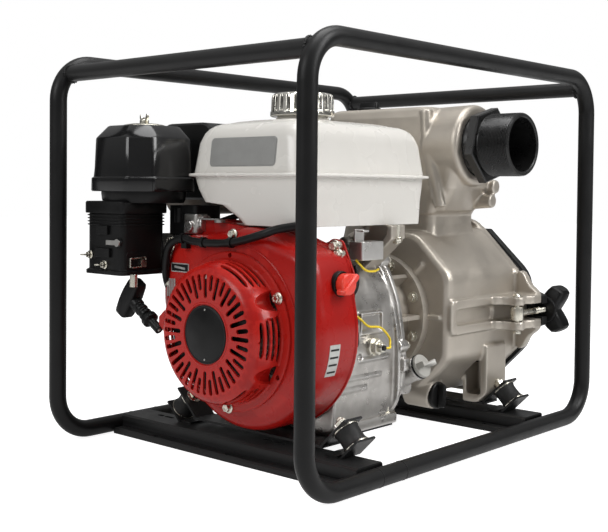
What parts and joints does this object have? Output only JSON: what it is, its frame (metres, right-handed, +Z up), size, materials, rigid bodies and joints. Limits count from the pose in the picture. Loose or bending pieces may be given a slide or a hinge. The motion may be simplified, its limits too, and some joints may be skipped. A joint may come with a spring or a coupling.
{
  "type": "gas engine trash pump",
  "caption": "Portable trash pump with a red and white recoil start petrol engine in a black tubular carry frame.",
  "frame": {"origin": "centre of the footprint on the ground", "axes": "+X to the right of someone facing the recoil starter, +Y from the recoil starter along the crankshaft to the pump, +Z up"},
  "size_m": [0.467, 0.661, 0.5255],
  "materials": {
    "black_paint": "satin black powder coat",
    "rubber": "matte",
    "raw_aluminium": "raw die casting",
    "ceramic": "glazed",
    "steel": "brushed",
    "black_plastic": "satin",
    "red_paint": "gloss",
    "red_plastic": "gloss",
    "zinc": "zinc plated",
    "rope": "braided",
    "grey_plastic": "satin",
    "filter_paper": "pleated",
    "heat_steel": "heat darkened",
    "white_paint": "gloss warm white",
    "chrome": "polished",
    "cast_aluminium": "bead blasted casting",
    "cast_iron": "as cast",
    "black_nipple": "satin, threaded"
  },
  "bodies": {
    "unit": {"side_loops": "black_paint", "cross_tubes": "black_paint", "base_channels": "black_paint", "channel_brackets": "black_paint", "unit_brackets": "black_paint", "rubber_mounts": "rubber", "crankcase": "raw_aluminium", "crankcase_cover": "raw_aluminium", "cylinder_head": "raw_aluminium", "rocker_cover": "raw_aluminium", "spark_plug": "ceramic", "crank_bearings": "steel", "piston": "raw_aluminium", "connecting_rod": "raw_aluminium", "fan_shroud": "red_paint", "recoil_cover": "red_paint", "recoil_emblem": "black_plastic", "recoil_bolts": "zinc", "rope_guide": "black_plastic", "oil_alert_unit": "grey_plastic", "oil_sensor": "zinc", "oil_filler": "raw_aluminium", "carburetor": "raw_aluminium", "air_duct": "black_plastic", "air_filter": "filter_paper", "air_cleaner_cover": "black_plastic", "air_cleaner_stud": "steel", "muffler": "heat_steel", "muffler_guard": "black_paint", "fuel_tank": "white_paint", "tank_brackets": "cast_aluminium", "pump_adapter": "cast_aluminium", "pump_casing": "cast_aluminium", "shaft_seal": "steel", "volute": "cast_iron", "discharge_nipple": "black_nipple", "suction_nipple": "black_nipple", "front_cover": "black_paint"},
    "rotor": {"crankshaft": "steel", "flywheel": "raw_aluminium", "starter_cup": "black_plastic", "impeller": "cast_iron"},
    "reel": {"recoil_reel": "black_plastic"},
    "grip": {"starter_grip": "black_plastic", "starter_rope": "rope"},
    "switch": {"engine_switch": "red_plastic"},
    "choke": {"choke_lever": "steel"},
    "fuel_valve": {"fuel_valve_lever": "steel"},
    "throttle": {"throttle_lever": "steel"},
    "governor": {"governor_rod": "steel"},
    "tank_cap": {"fuel_cap": "chrome"},
    "dipstick": {"oil_plug": "grey_plastic"},
    "cleaner_nut": {"wing_nut": "zinc"},
    "flap": {"check_flap": "rubber"},
    "clamp_right": {"eye_bolt_right": "zinc"},
    "clamp_left": {"eye_bolt_left": "zinc"},
    "hand_knob_right": {"knob_right": "black_plastic"},
    "hand_knob_left": {"knob_left": "black_plastic"},
    "priming": {"priming_plug": "black_plastic"},
    "drain": {"drain_plug": "black_plastic"}
  },
  "joints": [
    {"name": "crank_spin", "type": "hinge", "parent": "unit", "child": "rotor", "pos_m": [0.027, 0, 0.168], "axis": [0, 1, 0], "continuous": true},
    {"name": "grip_pull", "type": "slide", "parent": "unit", "child": "grip", "axis": [-1, 0, 0], "range_m": [0, 0.6], "deforming": ["starter_rope"]},
    {"name": "reel_spin", "type": "hinge", "parent": "unit", "child": "reel", "pos_m": [0.027, -0.264, 0.168], "axis": [0, 1, 0], "range_deg": [0, 554.5]},
    {"name": "switch_turn", "type": "hinge", "parent": "unit", "child": "switch", "pos_m": [0.168, -0.184, 0.233], "axis": [1, 0, 0], "range_deg": [0, 60]},
    {"name": "choke_turn", "type": "hinge", "parent": "unit", "child": "choke", "pos_m": [-0.124, -0.297, 0.274], "axis": [0, 1, 0], "range_deg": [0, 55]},
    {"name": "fuel_valve_turn", "type": "hinge", "parent": "unit", "child": "fuel_valve", "pos_m": [-0.117, -0.259, 0.247], "axis": [-1, 0, 0], "range_deg": [0, 60]},
    {"name": "throttle_turn", "type": "hinge", "parent": "unit", "child": "throttle", "pos_m": [-0.02, -0.212, 0.304], "axis": [0, 0, 1], "range_deg": [-20, 20]},
    {"name": "governor_slide", "type": "slide", "parent": "unit", "child": "governor", "axis": [1, 0, 0], "range_m": [-0.007, 0.007]},
    {"name": "fuel_cap_turn", "type": "hinge", "parent": "unit", "child": "tank_cap", "pos_m": [0.028, -0.107, 0.455], "axis": [0, 0, 1], "range_deg": [0, 90]},
    {"name": "oil_plug_turn", "type": "hinge", "parent": "unit", "child": "dipstick", "pos_m": [0.118, 0.006, 0.096], "axis": [0.8988, 0, 0.4384], "range_deg": [0, 720]},
    {"name": "wing_nut_turn", "type": "hinge", "parent": "unit", "child": "cleaner_nut", "pos_m": [-0.143, -0.236, 0.435], "axis": [0, 0, 1], "continuous": true},
    {"name": "check_flap_swing", "type": "hinge", "parent": "unit", "child": "flap", "pos_m": [0.027, 0.2075, 0.449], "axis": [1, 0, 0], "range_deg": [-50, 0]},
    {"name": "clamp_right_swing", "type": "hinge", "parent": "unit", "child": "clamp_right", "pos_m": [0.18, 0.196, 0.168], "axis": [0, 0, 1], "range_deg": [-95, 0]},
    {"name": "clamp_left_swing", "type": "hinge", "parent": "unit", "child": "clamp_left", "pos_m": [-0.126, 0.196, 0.168], "axis": [0, 0, 1], "range_deg": [0, 95]},
    {"name": "knob_right_turn", "type": "hinge", "parent": "clamp_right", "child": "hand_knob_right", "pos_m": [0.18, 0.28, 0.168], "axis": [0, 1, 0], "continuous": true},
    {"name": "knob_left_turn", "type": "hinge", "parent": "clamp_left", "child": "hand_knob_left", "pos_m": [-0.126, 0.28, 0.168], "axis": [0, 1, 0], "continuous": true},
    {"name": "priming_plug_turn", "type": "hinge", "parent": "unit", "child": "priming", "pos_m": [-0.06, 0.15, 0.467], "axis": [0, 0, 1], "range_deg": [0, 720]},
    {"name": "drain_plug_turn", "type": "hinge", "parent": "unit", "child": "drain", "pos_m": [0.111, 0.092, 0.054], "axis": [1, 0, 0], "range_deg": [0, 720]}
  ],
  "couplings": [
    {"joint": "reel_spin", "follows": "grip_pull", "rad_per_m": 16.129},
    {"joint": "governor_slide", "follows": "throttle_turn", "m_per_rad": 0.02}
  ]
}
